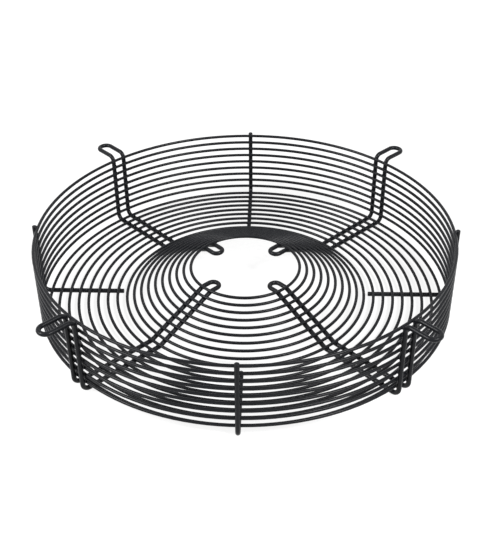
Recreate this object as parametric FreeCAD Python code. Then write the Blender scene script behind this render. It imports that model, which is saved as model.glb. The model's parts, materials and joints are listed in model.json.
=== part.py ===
import FreeCAD, Part
import math
import os

# Wire basket guard for an axial fan. It is welded from round wire rings that lie inside
# four long hairpin spokes and four single stays. Lengths are in millimetres and angles in
# degrees. The origin lies on the axis, in the plane that the underside rests on, and +Z
# points to the open rim.

# Wire
RING_WIRE = 3.0                 # diameter of the wire of every ring
FRAME_WIRE = 4.5                # diameter of the wire of the spokes and stays
WELD_SET_DOWN = 0.5             # depth that a ring sinks into a frame wire at its weld

# Wall of the basket
CLEAR_DIAMETER = 400.0          # free diameter inside the wall rings
WALL_RINGS = 9
WALL_PITCH = 8.11
FIRST_WALL_RISE = 6.11          # lowest wall ring above the floor rings

# Flat floor
FLOOR_RINGS = 9
FLOOR_INSET = 6.43              # outermost floor ring inside the wall rings

# Cone that rises to the middle
CONE_RINGS = 9
CONE_FOOT_DIAMETER = 235.07     # where the slope leaves the floor, on the rings' line
MIDDLE_DIAMETER = 104.8         # free diameter inside the last cone ring
CONE_SLOPE = 24.7
KNEE_INSET = 1.2                # start of the slope inside the last floor ring
FIRST_CONE_STEP = 6.61          # first cone ring from the knee, along the slope

# Bends of the frame wires, measured on the wire's centre
CORNER_BEND = 7.0               # from the wall to the floor
KNEE_BEND = 7.0                 # from the floor to the cone
NOSE_BEND = 7.0                 # from the cone to the inner eye
EYE_BEND = 6.0                  # from the wall to the outer eye

# Spokes
SPOKE_ANGLE = 45.5              # each spoke from the X axis
OUTER_SLOT = 9.0                # free width of the outer eye
INNER_SLOT = 6.8                # free width of the inner eye
OUTER_REACH = 32.7              # wire centre at the outer tip beyond the wall rings
INNER_REACH = 16.5              # wire centre at the inner tip inside the last cone ring
EYE_BEND_START = 2.85           # foot of the eye bend below the rim ring

# Stays
STAY_ABOVE_RIM = 2.2            # cut end above the rim ring
FRONT_STAY_ABOVE_RIM = 5.0      # the front stay is cut longer
STAY_PAST_RING = 5.1            # cut end inside the last floor ring but one
STAY_END_ROUND = 0.6            # rounding of both cut ends

# Sizes that follow from the ones above
ring_r = RING_WIRE / 2
frame_r = FRAME_WIRE / 2
seat = ring_r + frame_r - WELD_SET_DOWN
slope = math.radians(CONE_SLOPE)
floor_z = frame_r + seat
wall_radius = CLEAR_DIAMETER / 2 + ring_r
knee_radius = CONE_FOOT_DIAMETER / 2
middle_radius = MIDDLE_DIAMETER / 2 + ring_r
floor_width = wall_radius - FLOOR_INSET - KNEE_INSET - knee_radius
floor_pitch = floor_width / (FLOOR_RINGS - 1)
cone_length = (knee_radius - middle_radius) / math.cos(slope)
cone_pitch = (cone_length - FIRST_CONE_STEP) / (CONE_RINGS - 1)
floor_radii = [wall_radius - FLOOR_INSET - floor_pitch * k for k in range(FLOOR_RINGS)]
wall_heights = [floor_z + FIRST_WALL_RISE + WALL_PITCH * k for k in range(WALL_RINGS)]
cone_steps = [FIRST_CONE_STEP + cone_pitch * k for k in range(CONE_RINGS)]
rim_z = wall_heights[-1]
leg_radius = wall_radius + seat


def cone_point(step):
    """Radius and height of the point that lies step along the ring line of the cone."""
    return knee_radius - step * math.cos(slope), floor_z + step * math.sin(slope)


def bent_path(corners, bends):
    """Edges of a wire centre line: straight runs joined by tangent arcs."""
    edges = []
    here = corners[0]
    for before, corner, after, bend in zip(corners, corners[1:], corners[2:], bends):
        back = (before - corner).normalize()
        ahead = (after - corner).normalize()
        half_angle = back.getAngle(ahead) / 2
        run = bend / math.tan(half_angle)
        inward = (back + ahead).normalize()
        centre = corner + inward * (bend / math.sin(half_angle))
        start, end = corner + back * run, corner + ahead * run
        edges.append(Part.LineSegment(here, start).toShape())
        edges.append(Part.Arc(start, centre - inward * bend, end).toShape())
        here = end
    edges.append(Part.LineSegment(here, corners[-1]).toShape())
    return edges


def swept(edges, start, direction):
    """Solid round frame wire along a chain of edges."""
    section = Part.Wire(Part.Circle(start, direction, frame_r).toShape())
    return Part.Wire(edges).makePipeShell([section], True, False)


def ring(radius, height):
    return Part.makeTorus(radius, ring_r, FreeCAD.Vector(0, 0, height))


def make_rings():
    rings = {}
    for k, height in enumerate(wall_heights):
        rings[f"wall_ring_{k + 1}"] = ring(wall_radius, height)
    for k, radius in enumerate(floor_radii):
        rings[f"floor_ring_{k + 1}"] = ring(radius, floor_z)
    for k, step in enumerate(cone_steps):
        rings[f"cone_ring_{k + 1}"] = ring(*cone_point(step))
    return rings


def make_spoke():
    """One hairpin spoke along +X, before its weld seats are cut.

    Each leg lies in an upright plane of its own. The two planes spread a little outward,
    because the outer eye is wider than the inner eye.
    """
    outer_r = OUTER_SLOT / 2 + frame_r
    inner_r = INNER_SLOT / 2 + frame_r
    last_radius, last_z = cone_point(cone_steps[-1])
    outer_x = wall_radius + OUTER_REACH - outer_r
    inner_x = last_radius - INNER_REACH + inner_r
    splay = math.asin((outer_r - inner_r) / (outer_x - inner_x))
    along_x, along_y = math.cos(splay), math.sin(splay)
    foot_x, foot_y = inner_x - inner_r * along_y, inner_r * along_x
    leg_offset = foot_y * along_x - foot_x * along_y
    foot_along = foot_x * along_x + foot_y * along_y

    eye_z = rim_z - EYE_BEND_START + EYE_BEND
    nose_run = NOSE_BEND * math.tan(slope / 2)
    nose_x = last_radius - seat * math.sin(slope) - nose_run * math.cos(slope)
    nose_z = last_z - seat * math.cos(slope) + nose_run * math.sin(slope)
    knee_x = nose_x + (nose_z - frame_r) / math.tan(slope)
    wall_x = math.sqrt(leg_radius ** 2 - leg_offset ** 2)

    def on_leg(distance, height):
        gap = distance - foot_along
        return FreeCAD.Vector(foot_x + gap * along_x, foot_y + gap * along_y, height)

    outer_tangent = FreeCAD.Vector(outer_x - outer_r * along_y, outer_r * along_x, eye_z)
    corners = [outer_tangent, on_leg(wall_x, eye_z), on_leg(wall_x, frame_r),
               on_leg(knee_x, frame_r), on_leg(nose_x, nose_z), on_leg(foot_along, nose_z)]

    def on_eye(centre_x, radius, angle, height):
        return FreeCAD.Vector(centre_x + radius * math.cos(angle),
                              radius * math.sin(angle), height)

    tangent_angle = math.pi / 2 + splay
    outer_tip = on_eye(outer_x, outer_r, 0, eye_z)
    inner_tip = on_eye(inner_x, inner_r, math.pi, nose_z)
    outer_arc = Part.Arc(outer_tip, on_eye(outer_x, outer_r, tangent_angle / 2, eye_z),
                         outer_tangent).toShape()
    inner_middle = (tangent_angle + math.pi) / 2
    inner_arc = Part.Arc(corners[-1], on_eye(inner_x, inner_r, inner_middle, nose_z),
                         inner_tip).toShape()
    bends = [EYE_BEND, CORNER_BEND, KNEE_BEND, NOSE_BEND]
    edges = [outer_arc] + bent_path(corners, bends) + [inner_arc]
    leg = swept(edges, outer_tip, FreeCAD.Vector(0, 1, 0))
    other_leg = leg.mirror(FreeCAD.Vector(0, 0, 0), FreeCAD.Vector(0, 1, 0))
    return leg.fuse(other_leg).removeSplitter()


def make_stay(above_rim):
    """One single stay along +X, before its weld seats are cut."""
    top = FreeCAD.Vector(leg_radius, 0, rim_z + above_rim)
    corner = FreeCAD.Vector(leg_radius, 0, frame_r)
    inner_end = FreeCAD.Vector(floor_radii[-2] - STAY_PAST_RING, 0, frame_r)
    wire = swept(bent_path([top, corner, inner_end], [CORNER_BEND]),
                 top, FreeCAD.Vector(0, 0, -1))
    caps = [face.Edges[0] for face in wire.Faces
            if face.CenterOfMass.distanceToPoint(top) < ring_r
            or face.CenterOfMass.distanceToPoint(inner_end) < ring_r]
    return wire.makeFillet(STAY_END_ROUND, caps)


def with_seats(wire, rings):
    """The wire with the seat of every ring that sinks into it."""
    return wire.cut(list(rings.values())).Solids[0]


def turned(shape, angle):
    copy = shape.copy()
    copy.rotate(FreeCAD.Vector(0, 0, 0), FreeCAD.Vector(0, 0, 1), angle)
    return copy


parts = make_rings()
spoke = with_seats(make_spoke(), parts)
stay = with_seats(make_stay(STAY_ABOVE_RIM), parts)
front_stay = with_seats(make_stay(FRONT_STAY_ABOVE_RIM), parts)
spoke_angles = {"spoke_rear_right": SPOKE_ANGLE, "spoke_rear_left": 180 - SPOKE_ANGLE,
                "spoke_front_left": 180 + SPOKE_ANGLE, "spoke_front_right": -SPOKE_ANGLE}
stay_angles = {"stay_right": 0, "stay_rear": 90, "stay_left": 180, "stay_front": 270}
for name, angle in spoke_angles.items():
    parts[name] = turned(spoke, angle)
for name, angle in stay_angles.items():
    parts[name] = turned(front_stay if name == "stay_front" else stay, angle)

os.makedirs("parts", exist_ok=True)
for name, shape in parts.items():
    shape.exportStep(f"parts/{name}.step")
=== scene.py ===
"""Wire fan guard: coated wires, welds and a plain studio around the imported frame."""
import json
import math
import random

import bpy
from bpy.props import FloatProperty, FloatVectorProperty, IntProperty, PointerProperty
from mathutils import Matrix, Vector

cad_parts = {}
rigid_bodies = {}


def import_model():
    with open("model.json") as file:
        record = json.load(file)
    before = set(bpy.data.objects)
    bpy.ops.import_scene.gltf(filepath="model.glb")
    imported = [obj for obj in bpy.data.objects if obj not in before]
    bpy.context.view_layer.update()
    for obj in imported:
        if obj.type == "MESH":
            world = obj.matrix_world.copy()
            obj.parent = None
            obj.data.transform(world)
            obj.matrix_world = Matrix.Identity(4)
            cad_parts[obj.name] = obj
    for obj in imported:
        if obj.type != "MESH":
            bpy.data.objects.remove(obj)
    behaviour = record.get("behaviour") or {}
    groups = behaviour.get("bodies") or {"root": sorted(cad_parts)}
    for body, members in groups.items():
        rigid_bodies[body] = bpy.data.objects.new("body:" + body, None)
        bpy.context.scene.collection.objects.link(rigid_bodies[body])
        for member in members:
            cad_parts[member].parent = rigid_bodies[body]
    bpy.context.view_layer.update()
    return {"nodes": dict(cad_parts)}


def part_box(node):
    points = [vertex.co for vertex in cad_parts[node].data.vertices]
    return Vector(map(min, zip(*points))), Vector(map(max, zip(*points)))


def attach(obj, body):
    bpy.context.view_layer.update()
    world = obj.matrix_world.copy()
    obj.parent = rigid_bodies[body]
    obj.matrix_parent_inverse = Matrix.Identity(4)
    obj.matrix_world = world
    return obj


for leftover in list(bpy.data.objects):
    bpy.data.objects.remove(leftover)
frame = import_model()

bl_info = {
    "name": "Wire fan guard",
    "version": (1, 0, 0),
    "blender": (4, 5, 0),
    "location": "3D View > Sidebar > Fan guard",
    "description": "Welded and coated wire basket guard for an axial fan",
    "category": "Object",
}

BODY = "root"
COAT = "Satin black coat"
RINGS = 9                                   # in the wall, in the floor and in the cone
WALL_RINGS = [f"wall_ring_{k + 1}" for k in range(RINGS)]
FLOOR_RINGS = [f"floor_ring_{k + 1}" for k in range(RINGS)]
CONE_RINGS = [f"cone_ring_{k + 1}" for k in range(RINGS)]
STAY_FLOOR_RINGS = FLOOR_RINGS[:-1]         # the stays end before the last floor ring
# Turn of every spoke and stay about the axis, in degrees
SPOKES = {"spoke_rear_right": 45.5, "spoke_rear_left": 134.5,
          "spoke_front_left": 225.5, "spoke_front_right": 314.5}
STAYS = {"stay_right": 0, "stay_rear": 90, "stay_left": 180, "stay_front": 270}
WELD_SHARES = (0.75, 1.0, 1.25)             # weld sizes, as shares of the middle one

# Coat: the film varies slowly, the peel is its ripple, and the grain is finer
FILM_WAVES = 38.0                           # per metre
GRAIN_FINER = 4                             # grain waves to one peel wave
FILM_DETAIL, PEEL_DETAIL, GRAIN_DETAIL = 3.0, 1.5, 1.0
FILM_TONE, PEEL_TONE = 0.8, 0.2
FILM_ROUGHNESS, GRAIN_ROUGHNESS = 0.12, 0.08
PEEL_HEIGHT, GRAIN_HEIGHT = 0.75, 0.25
PEEL_STRENGTH = 0.6

# Sockets of a colour Mix node, whose names repeat
MIX_FACTOR, MIX_FIRST, MIX_SECOND, MIX_COLOUR = 0, 6, 7, 2

# Stage, in metres from the axis and the underside of the guard
FLOOR_ROUGHNESS = 0.9
LAMPS = {"Left lamp": (-1.6, -0.6, 1.4), "Right lamp": (1.1, -0.95, 1.6)}
LAMP_AIM = (0, 0, 0.02)

# Camera, as recovered from the photo
PHOTO_HEIGHT = 558                          # pixels, the longer side
FOCAL_LENGTH = 944.7                        # pixels
CENTRE_SHIFT = 0.5                          # pixels from the middle of the photo
SENSOR = 36.0                               # millimetres
CAMERA_PLACE = (0.02783, -0.77314, 0.56333)
CAMERA_AIM = (0.00164, 0.00006, 0.01816)
CAMERA_ROLL = -0.426                        # degrees


# Sizes and finishes that a user may change

class GuardSizes(bpy.types.PropertyGroup):
    ring_wire: FloatProperty(
        name="Ring wire", description="Diameter of the wire of every ring",
        default=0.003, min=0.0005, precision=5, unit="LENGTH")
    frame_wire: FloatProperty(
        name="Frame wire", description="Diameter of the wire of the spokes and stays",
        default=0.0045, min=0.0005, precision=5, unit="LENGTH")
    weld_set_down: FloatProperty(
        name="Weld set-down", description="Depth that a ring sinks into a frame wire",
        default=0.0005, min=0.0, precision=5, unit="LENGTH")
    weld_fillet: FloatProperty(
        name="Weld fillet", description="Middle radius of the coated fillet round a weld",
        default=0.0006, min=0.0001, precision=5, unit="LENGTH")
    weld_sides: IntProperty(
        name="Weld sides", description="Faces round each weld fillet",
        default=16, min=8, max=48)
    cone_slope: FloatProperty(
        name="Cone slope", description="Slope of the cone above the floor",
        default=math.radians(24.7), unit="ROTATION")
    inner_leg: FloatProperty(
        name="Leg at the inner eye", description="Half of the leg spacing at the inner eye",
        default=0.00565, precision=5, unit="LENGTH")
    inner_leg_reach: FloatProperty(
        name="Inner eye reach", description="Distance of the inner eye from the axis",
        default=0.04305, precision=5, unit="LENGTH")
    outer_leg: FloatProperty(
        name="Leg at the outer eye", description="Half of the leg spacing at the outer eye",
        default=0.00675, precision=5, unit="LENGTH")
    outer_leg_reach: FloatProperty(
        name="Outer eye reach", description="Distance of the outer eye from the axis",
        default=0.22745, precision=5, unit="LENGTH")
    eye_bend: FloatProperty(
        name="Eye bend", description="Radius of the bend from the wall to the outer eye",
        default=0.006, precision=5, unit="LENGTH")
    eye_bend_start: FloatProperty(
        name="Eye bend start", description="Foot of the eye bend below the rim ring",
        default=0.00285, precision=5, unit="LENGTH")


class GuardFinish(bpy.types.PropertyGroup):
    coat_dark: FloatVectorProperty(
        name="Coat, dark", description="Coat colour where the film is thin",
        subtype="COLOR", size=3, default=(0.0045, 0.0050, 0.0070), min=0, max=1)
    coat_light: FloatVectorProperty(
        name="Coat, light", description="Coat colour where the film is thick",
        subtype="COLOR", size=3, default=(0.0090, 0.0098, 0.0125), min=0, max=1)
    roughness: FloatProperty(
        name="Roughness", description="Middle roughness of the satin coat",
        default=0.33, min=0, max=1, subtype="FACTOR")
    gloss: FloatProperty(
        name="Gloss", description="Specular level of the coat",
        default=0.18, min=0, max=1, subtype="FACTOR")
    peel_depth: FloatProperty(
        name="Orange peel", description="Depth of the ripple in the coat",
        default=0.00002, min=0, precision=6, unit="LENGTH")
    peel_size: FloatProperty(
        name="Ripple size", description="Width of one ripple of the coat",
        default=0.0014, min=0.0001, precision=5, unit="LENGTH")


class StudioLook(bpy.types.PropertyGroup):
    floor_colour: FloatVectorProperty(
        name="Floor", description="Colour of the floor",
        subtype="COLOR", size=3, default=(0.25, 0.25, 0.25), min=0, max=1)
    floor_glow: FloatProperty(
        name="Floor glow", description="Light that the floor adds where it is only seen",
        default=0.86, min=0)
    floor_rise: FloatProperty(
        name="Glow rise", description="Glow that the floor gains for each metre outward",
        default=0.2, min=0)
    floor_size: FloatProperty(
        name="Floor size", description="Side of the square floor",
        default=30.0, unit="LENGTH")
    ambient: FloatProperty(
        name="Soft light", description="Level of the light from all round",
        default=0.03, min=0)
    lamp_power: FloatProperty(
        name="Lamp power", description="Power of each soft lamp", default=34.0,
        min=0, unit="POWER")
    lamp_side: FloatProperty(
        name="Lamp size", description="Side of each square soft lamp",
        default=0.6, unit="LENGTH")


GROUPS = {"guard_sizes": GuardSizes, "guard_finish": GuardFinish, "guard_studio": StudioLook}


# Node trees

class Flow:
    """One output socket. An expression on it adds Math nodes to its tree."""

    def __init__(self, tree, socket):
        self.tree = tree
        self.socket = socket

    def maths(self, operation, first, second):
        return self.tree.node("ShaderNodeMath", {"operation": operation},
                              {0: first, 1: second})

    def __add__(self, other):
        return self.maths("ADD", self, other)

    def __radd__(self, other):
        return self.maths("ADD", other, self)

    def __mul__(self, other):
        return self.maths("MULTIPLY", self, other)

    def __rmul__(self, other):
        return self.maths("MULTIPLY", other, self)


class Tree:
    """A node tree that is filled one node at a time."""

    def __init__(self, node_tree):
        self.tree = node_tree
        node_tree.nodes.clear()

    def node(self, kind, settings=None, sockets=None, output=0):
        """Adds one node, with its settings first and its socket values or links after."""
        made = self.tree.nodes.new(kind)
        for name, value in (settings or {}).items():
            setattr(made, name, value)
        for key, value in (sockets or {}).items():
            if isinstance(value, Flow):
                self.tree.links.new(value.socket, made.inputs[key])
            else:
                made.inputs[key].default_value = value
        return Flow(self, made.outputs[output]) if made.outputs else None


def rgba(colour):
    return (*colour, 1.0)


def new_tree(name):
    material = bpy.data.materials.new(name)
    material.use_nodes = True
    return material, Tree(material.node_tree)


def coated_wire(finish):
    """Satin black powder coat: a fine ripple, and a film that varies a little in tone."""
    tree = new_tree(COAT)[1]
    place = tree.node("ShaderNodeTexCoord", output="Object")
    ripple = 1 / finish.peel_size

    def noise(scale, detail):
        return tree.node("ShaderNodeTexNoise", None,
                         {"Vector": place, "Scale": scale, "Detail": detail}, "Fac")

    peel = noise(ripple, PEEL_DETAIL)
    grain = noise(ripple * GRAIN_FINER, GRAIN_DETAIL)
    film = noise(FILM_WAVES, FILM_DETAIL)
    tone = film * FILM_TONE + peel * PEEL_TONE
    colour = tree.node("ShaderNodeMix", {"data_type": "RGBA"},
                       {MIX_FACTOR: tone, MIX_FIRST: rgba(finish.coat_dark),
                        MIX_SECOND: rgba(finish.coat_light)}, MIX_COLOUR)
    smoothest = finish.roughness - (FILM_ROUGHNESS + GRAIN_ROUGHNESS) / 2
    roughness = smoothest + film * FILM_ROUGHNESS + grain * GRAIN_ROUGHNESS
    height = peel * PEEL_HEIGHT + grain * GRAIN_HEIGHT
    bump = tree.node("ShaderNodeBump", None,
                     {"Strength": PEEL_STRENGTH, "Distance": finish.peel_depth,
                      "Height": height})
    shader = tree.node("ShaderNodeBsdfPrincipled", None,
                       {"Base Color": colour, "Roughness": roughness, "Normal": bump,
                        "Metallic": 0.0, "Specular IOR Level": finish.gloss})
    tree.node("ShaderNodeOutputMaterial", None, {"Surface": shader})


def seen_rays(tree):
    """1 for the rays that show a surface, seen straight, in a reflection or through glass."""
    camera = tree.node("ShaderNodeLightPath", output="Is Camera Ray")
    glossy = tree.node("ShaderNodeLightPath", output="Is Glossy Ray")
    return camera + glossy + tree.node("ShaderNodeLightPath", output="Is Transmission Ray")


def white_floor(studio):
    """Grey floor whose glow shows white to the camera and keeps the guard's faint shadow."""
    material, tree = new_tree("Pale floor")
    place = tree.node("ShaderNodeTexCoord", output="Object")
    far = tree.node("ShaderNodeVectorMath", {"operation": "LENGTH"}, {0: place}, "Value")
    glow = studio.floor_glow + far * studio.floor_rise
    shader = tree.node("ShaderNodeBsdfPrincipled", None,
                       {"Base Color": rgba(studio.floor_colour),
                        "Roughness": FLOOR_ROUGHNESS, "Specular IOR Level": 0.0,
                        "Emission Color": (1, 1, 1, 1),
                        "Emission Strength": seen_rays(tree) * glow})
    tree.node("ShaderNodeOutputMaterial", None, {"Surface": shader})
    return material


def white_world(studio):
    """Even soft light that looks white to the camera and in reflections."""
    world = bpy.data.worlds.new("Soft studio")
    world.use_nodes = True
    tree = Tree(world.node_tree)
    strength = studio.ambient + seen_rays(tree) * (1 - studio.ambient)
    sky = tree.node("ShaderNodeBackground", None, {"Color": (1, 1, 1, 1), "Strength": strength})
    tree.node("ShaderNodeOutputWorld", None, {"Surface": sky})
    return world


# Modelling

def coat_nodes(names):
    """Gives the coat to CAD nodes."""
    material = bpy.data.materials[COAT]
    for name in names:
        for slot in frame["nodes"][name].material_slots:
            slot.material = material


def wires_apart(sizes):
    """Distance between the centre lines of a ring and a frame wire at their weld."""
    return sizes.ring_wire / 2 + sizes.frame_wire / 2 - sizes.weld_set_down


def weld_pattern(sizes, share, apart, bow):
    """One weld fillet: X along the ring, Y along the frame wire, Z from ring to frame wire.

    A ball of the fillet's radius rolls round the crossing. The lowest loop lies where it
    touches the ring, the highest one where it touches the frame wire, and the middle one
    on the ball. They start as the loops of a cylinder, at levels -1, 1 and 0. apart is the
    distance between the two centre lines, and bow the curvature of the frame wire's near
    side, 0 where the wire is straight.
    """
    ring_r, frame_r = sizes.ring_wire / 2, sizes.frame_wire / 2
    ball = sizes.weld_fillet * share
    bpy.ops.object.select_all(action="DESELECT")
    bpy.ops.mesh.primitive_cylinder_add(vertices=sizes.weld_sides, radius=1, depth=2,
                                        end_fill_type="NGON", location=(0, 0, 0))
    piece = bpy.context.object
    mesh = piece.data
    bpy.ops.object.mode_set(mode="EDIT")
    bpy.ops.mesh.select_all(action="DESELECT")
    bpy.ops.object.mode_set(mode="OBJECT")
    for edge in mesh.edges:
        first, second = (round(mesh.vertices[v].co.z) for v in edge.vertices)
        edge.select = first != second
    bpy.ops.object.mode_set(mode="EDIT")
    bpy.ops.mesh.select_mode(type="EDGE")
    bpy.ops.mesh.subdivide(number_cuts=1)
    bpy.ops.object.mode_set(mode="OBJECT")
    low, high = apart - frame_r - ball, ring_r + ball
    for vertex in mesh.vertices:
        angle = math.atan2(vertex.co.y, vertex.co.x)
        level = round(vertex.co.z)
        depth = high * math.cos(angle) ** 2 + low * math.sin(angle) ** 2
        along_ring = math.sqrt(max((frame_r + ball) ** 2 - (apart - depth) ** 2, 0))
        along_wire = math.sqrt(max((ring_r + ball) ** 2 - depth ** 2, 0))
        centre = Vector((math.copysign(along_ring, math.cos(angle)),
                         math.copysign(along_wire, math.sin(angle)), depth))
        to_ring = -Vector((0, centre.y, centre.z)) / (ring_r + ball)
        to_frame = -Vector((centre.x, 0, centre.z - apart)) / (frame_r + ball)
        if level < 0:
            vertex.co = centre + to_ring * ball
        elif level > 0:
            vertex.co = centre + to_frame * ball
        else:
            vertex.co = centre + (to_ring + to_frame).normalized() * ball
        toward_frame = (level + 1) / 2
        vertex.co.z += toward_frame * bow * vertex.co.y ** 2 / 2
    bpy.ops.object.mode_set(mode="EDIT")
    bpy.ops.mesh.select_all(action="SELECT")
    bpy.ops.mesh.normals_make_consistent(inside=False)
    bpy.ops.object.mode_set(mode="OBJECT")
    bpy.ops.object.shade_smooth()
    return piece


def ring_line(name, ring_r):
    """Radius and height of a ring's centre line, read from its CAD box."""
    low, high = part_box(name)
    return high.x - ring_r, (low.z + high.z) / 2


def weld_place(sizes, ring, normal, apart, leg):
    """Matrix from a pattern's axes to the row frame, on a frame wire near the X axis.

    leg(x) is the wire's Y offset. It is read where the wire's own centre passes the ring,
    apart from it along normal, and the pattern leans with the wire where that crosses
    the ring askew.
    """
    radius, height = ring_line(ring, sizes.ring_wire / 2)
    reach = radius + apart * normal.x
    angle = math.asin(leg(reach) / reach)
    lean = math.atan((leg(reach) - leg(0)) / reach) - angle
    ring_way = Vector((0, 1, 0))
    wire_way = normal.cross(ring_way)
    wire_way.y = wire_way.x * math.tan(lean)
    turn = Matrix.Rotation(angle, 3, "Z")
    axes = turn @ Matrix((ring_way, wire_way, normal)).transposed()
    return Matrix.Translation(turn @ Vector((radius, 0, height))) @ axes.to_4x4()


def crossings(sizes, rings, leg):
    """Place of every weld on the straight runs of a frame wire whose Y offset is leg(x)."""
    slope = sizes.cone_slope
    outward = {"wall": Vector((1, 0, 0)), "floor": Vector((0, 0, -1)),
               "cone": Vector((-math.sin(slope), 0, -math.cos(slope)))}
    return [weld_place(sizes, ring, outward[ring.split("_")[0]], wires_apart(sizes), leg)
            for ring in rings]


def weld_set(name, welds, angle):
    """One piece with a copy of one of its patterns at every place, turned about the axis."""
    turn = Matrix.Rotation(math.radians(angle), 4, "Z")
    draw = random.Random(round(angle))
    bpy.ops.object.select_all(action="DESELECT")
    for place, patterns in welds:
        pattern = draw.choice(patterns)
        copy = pattern.copy()
        copy.data = pattern.data.copy()
        copy.data.transform(turn @ place)
        bpy.context.scene.collection.objects.link(copy)
        copy.select_set(True)
        bpy.context.view_layer.objects.active = copy
    bpy.ops.object.join()
    piece = bpy.context.object
    piece.name = name
    piece.data.name = name
    piece.data.materials.clear()
    piece.data.materials.append(bpy.data.materials[COAT])
    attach(piece, BODY)


def weld_patterns(sizes, apart, bow):
    """One fillet of every size, for one kind of crossing."""
    return [weld_pattern(sizes, share, apart, bow) for share in WELD_SHARES]


def make_weld_sets(welds, kind, wires):
    """The welds of every wire of one kind, each a place and the patterns that fit there."""
    for name, angle in wires.items():
        weld_set(name.replace(kind, kind + "_welds"), welds, angle)
    for pattern in {pattern for place, patterns in welds for pattern in patterns}:
        bpy.data.objects.remove(pattern)


def aimed(place, aim, roll):
    """Matrix of a camera or lamp at place that looks at aim, rolled about its view."""
    ahead = (aim - place).normalized()
    level = ahead.cross(Vector((0, 0, 1))).normalized()
    above = level.cross(ahead)
    right = level * math.cos(roll) + above * math.sin(roll)
    up = above * math.cos(roll) - level * math.sin(roll)
    axes = Matrix((right, up, -ahead)).transposed()
    return Matrix.Translation(place) @ axes.to_4x4()


# Operators

class GUARD_OT_coat(bpy.types.Operator):
    """Make the satin black coat that every wire and weld carries"""
    bl_idname = "fan_guard.make_coat"
    bl_label = "Make the coat"

    def execute(self, context):
        coated_wire(context.scene.guard_finish)
        return {"FINISHED"}


class GUARD_OT_rings(bpy.types.Operator):
    """Coat the rings of the wall, the floor and the cone"""
    bl_idname = "fan_guard.coat_rings"
    bl_label = "Coat the rings"

    def execute(self, context):
        coat_nodes(WALL_RINGS + FLOOR_RINGS + CONE_RINGS)
        return {"FINISHED"}


class GUARD_OT_frame_wires(bpy.types.Operator):
    """Coat the hairpin spokes and the single stays"""
    bl_idname = "fan_guard.coat_frame_wires"
    bl_label = "Coat the spokes and stays"

    def execute(self, context):
        coat_nodes([*SPOKES, *STAYS])
        return {"FINISHED"}


class GUARD_OT_spoke_welds(bpy.types.Operator):
    """Model the weld fillets where the rings cross the legs of the spokes"""
    bl_idname = "fan_guard.spoke_welds"
    bl_label = "Weld the spokes"

    def execute(self, context):
        sizes = context.scene.guard_sizes
        gain = ((sizes.outer_leg - sizes.inner_leg)
                / (sizes.outer_leg_reach - sizes.inner_leg_reach))

        def leg(along):
            return sizes.inner_leg + gain * (along - sizes.inner_leg_reach)

        apart = wires_apart(sizes)
        to_bend = Vector((apart + sizes.eye_bend, 0, -sizes.eye_bend_start))
        rim_apart = to_bend.length - sizes.eye_bend
        straight = weld_patterns(sizes, apart, 0)
        bent = weld_patterns(sizes, rim_apart, 1 / (sizes.eye_bend + sizes.frame_wire / 2))
        rim = WALL_RINGS[-1]
        rings = WALL_RINGS[:-1] + FLOOR_RINGS + CONE_RINGS
        welds = []
        for side in (leg, lambda along: -leg(along)):
            welds += [(place, straight) for place in crossings(sizes, rings, side)]
            welds.append((weld_place(sizes, rim, to_bend.normalized(), rim_apart, side), bent))
        make_weld_sets(welds, "spoke", SPOKES)
        return {"FINISHED"}


class GUARD_OT_stay_welds(bpy.types.Operator):
    """Model the weld fillets where the rings cross the single stays"""
    bl_idname = "fan_guard.stay_welds"
    bl_label = "Weld the stays"

    def execute(self, context):
        sizes = context.scene.guard_sizes
        straight = weld_patterns(sizes, wires_apart(sizes), 0)
        places = crossings(sizes, WALL_RINGS + STAY_FLOOR_RINGS, lambda along: 0.0)
        make_weld_sets([(place, straight) for place in places], "stay", STAYS)
        return {"FINISHED"}


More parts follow.
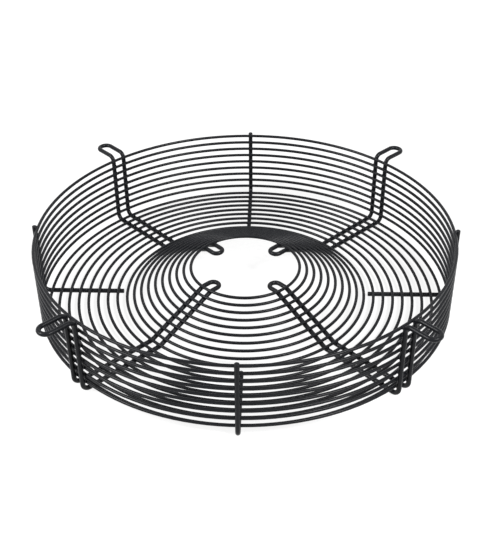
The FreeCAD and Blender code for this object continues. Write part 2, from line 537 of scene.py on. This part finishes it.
class GUARD_OT_stage(bpy.types.Operator):
    """Set up the floor, the soft light, the lamps and the camera"""
    bl_idname = "fan_guard.stage"
    bl_label = "Set up the stage"

    def execute(self, context):
        scene = context.scene
        studio = scene.guard_studio
        bpy.ops.object.select_all(action="DESELECT")
        bpy.ops.mesh.primitive_plane_add(size=studio.floor_size, location=(0, 0, 0))
        floor = bpy.context.object
        floor.name = "Floor"
        floor.data.materials.append(white_floor(studio))
        scene.world = white_world(studio)
        for name, place in LAMPS.items():
            lamp = bpy.data.lights.new(name, "AREA")
            lamp.shape = "SQUARE"
            lamp.size = studio.lamp_side
            lamp.energy = studio.lamp_power
            holder = bpy.data.objects.new(name, lamp)
            holder.matrix_world = aimed(Vector(place), Vector(LAMP_AIM), 0)
            scene.collection.objects.link(holder)
        camera = bpy.data.cameras.new("Camera")
        camera.sensor_fit = "AUTO"
        camera.sensor_width = SENSOR
        camera.lens = FOCAL_LENGTH / PHOTO_HEIGHT * SENSOR
        camera.shift_x = -CENTRE_SHIFT / PHOTO_HEIGHT
        camera.shift_y = CENTRE_SHIFT / PHOTO_HEIGHT
        holder = bpy.data.objects.new("Camera", camera)
        holder.matrix_world = aimed(Vector(CAMERA_PLACE), Vector(CAMERA_AIM),
                                    math.radians(CAMERA_ROLL))
        scene.collection.objects.link(holder)
        scene.camera = holder
        scene.view_settings.view_transform = "Standard"
        return {"FINISHED"}


class GUARD_PT_sidebar(bpy.types.Panel):
    """Sizes, finish and steps of the fan guard"""
    bl_idname = "GUARD_PT_sidebar"
    bl_label = "Wire fan guard"
    bl_space_type = "VIEW_3D"
    bl_region_type = "UI"
    bl_category = "Fan guard"

    def draw(self, context):
        for group_name, group in GROUPS.items():
            box = self.layout.box()
            for value in group.__annotations__:
                box.prop(getattr(context.scene, group_name), value)
        for step in STEPS:
            self.layout.operator(step.bl_idname)


STEPS = (GUARD_OT_coat, GUARD_OT_rings, GUARD_OT_frame_wires, GUARD_OT_spoke_welds,
         GUARD_OT_stay_welds, GUARD_OT_stage)


def register():
    for group_name, group in GROUPS.items():
        bpy.utils.register_class(group)
        setattr(bpy.types.Scene, group_name, PointerProperty(type=group))
    for step in STEPS:
        bpy.utils.register_class(step)
    bpy.utils.register_class(GUARD_PT_sidebar)


def unregister():
    bpy.utils.unregister_class(GUARD_PT_sidebar)
    for step in reversed(STEPS):
        bpy.utils.unregister_class(step)
    for group_name, group in reversed(GROUPS.items()):
        delattr(bpy.types.Scene, group_name)
        bpy.utils.unregister_class(group)


def main():
    register()
    bpy.ops.fan_guard.make_coat()
    bpy.ops.fan_guard.coat_rings()
    bpy.ops.fan_guard.coat_frame_wires()
    bpy.ops.fan_guard.spoke_welds()
    bpy.ops.fan_guard.stay_welds()
    bpy.ops.fan_guard.stage()


if __name__ == "__main__":
    main()
